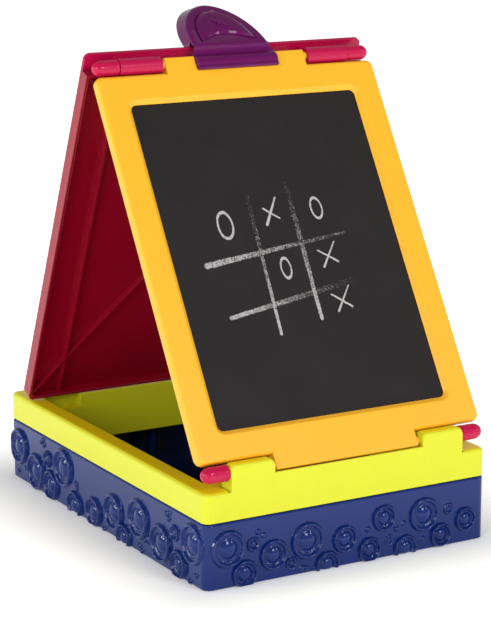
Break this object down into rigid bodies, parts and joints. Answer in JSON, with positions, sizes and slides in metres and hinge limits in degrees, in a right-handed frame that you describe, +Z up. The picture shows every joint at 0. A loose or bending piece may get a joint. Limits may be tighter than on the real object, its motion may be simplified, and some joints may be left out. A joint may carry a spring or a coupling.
{
  "type": "kids easel",
  "caption": "Tabletop easel for children: a storage base with a hinged chalkboard panel, a hinged rear panel that props it up, and a sprung paper clip.",
  "frame": {"origin": "centre of the footprint on the surface the base stands on", "axes": "+X to the right along the front, +Y from the front to the back, +Z up"},
  "size_m": [0.312, 0.427, 0.4938],
  "materials": {
    "blue_plastic": "gloss moulded plastic",
    "yellow_plastic": "satin moulded plastic",
    "orange_plastic": "satin moulded plastic",
    "crimson_plastic": "satin moulded plastic",
    "pin_plastic": "gloss moulded plastic",
    "purple_plastic": "gloss moulded plastic",
    "chalkboard": "matt chalkboard paint on hardboard",
    "whiteboard": "gloss dry-erase coating",
    "steel": "plated steel"
  },
  "bodies": {
    "base": {"base_shell": "blue_plastic", "storage_collar": "yellow_plastic", "lower_pin_left": "pin_plastic", "lower_pin_right": "pin_plastic", "collar_screw_1": "steel", "collar_screw_2": "steel", "collar_screw_3": "steel", "collar_screw_4": "steel", "collar_screw_5": "steel", "collar_screw_6": "steel", "collar_screw_7": "steel", "collar_screw_8": "steel"},
    "front_panel": {"front_frame": "orange_plastic", "chalkboard": "chalkboard", "clip_axle": "steel", "clip_spring": "steel", "board_screw_1": "steel", "board_screw_2": "steel", "board_screw_3": "steel", "board_screw_4": "steel", "board_screw_5": "steel", "board_screw_6": "steel"},
    "rear_panel": {"rear_frame": "crimson_plastic", "whiteboard": "whiteboard", "upper_pin_left": "pin_plastic", "upper_pin_right": "pin_plastic"},
    "clip": {"clip_lever": "purple_plastic"}
  },
  "joints": [
    {"name": "front_hinge", "type": "hinge", "parent": "base", "child": "front_panel", "pos_m": [0, -0.2011, 0.105], "axis": [1, 0, 0], "range_deg": [0, 31.1]},
    {"name": "top_hinge", "type": "hinge", "parent": "front_panel", "child": "rear_panel", "pos_m": [0, 0.00422, 0.44537], "axis": [1, 0, 0], "range_deg": [-54.69, 0]},
    {"name": "clip_hinge", "type": "hinge", "parent": "front_panel", "child": "clip", "pos_m": [0, 0.00345, 0.4435], "axis": [-1, 0, 0], "range_deg": [0, 4], "stiffness_Nm_per_rad": 0.25, "springref_deg": -28.65}
  ],
  "couplings": [
    {"joint": "top_hinge", "follows": "front_hinge", "ratio": -1.7581}
  ]
}
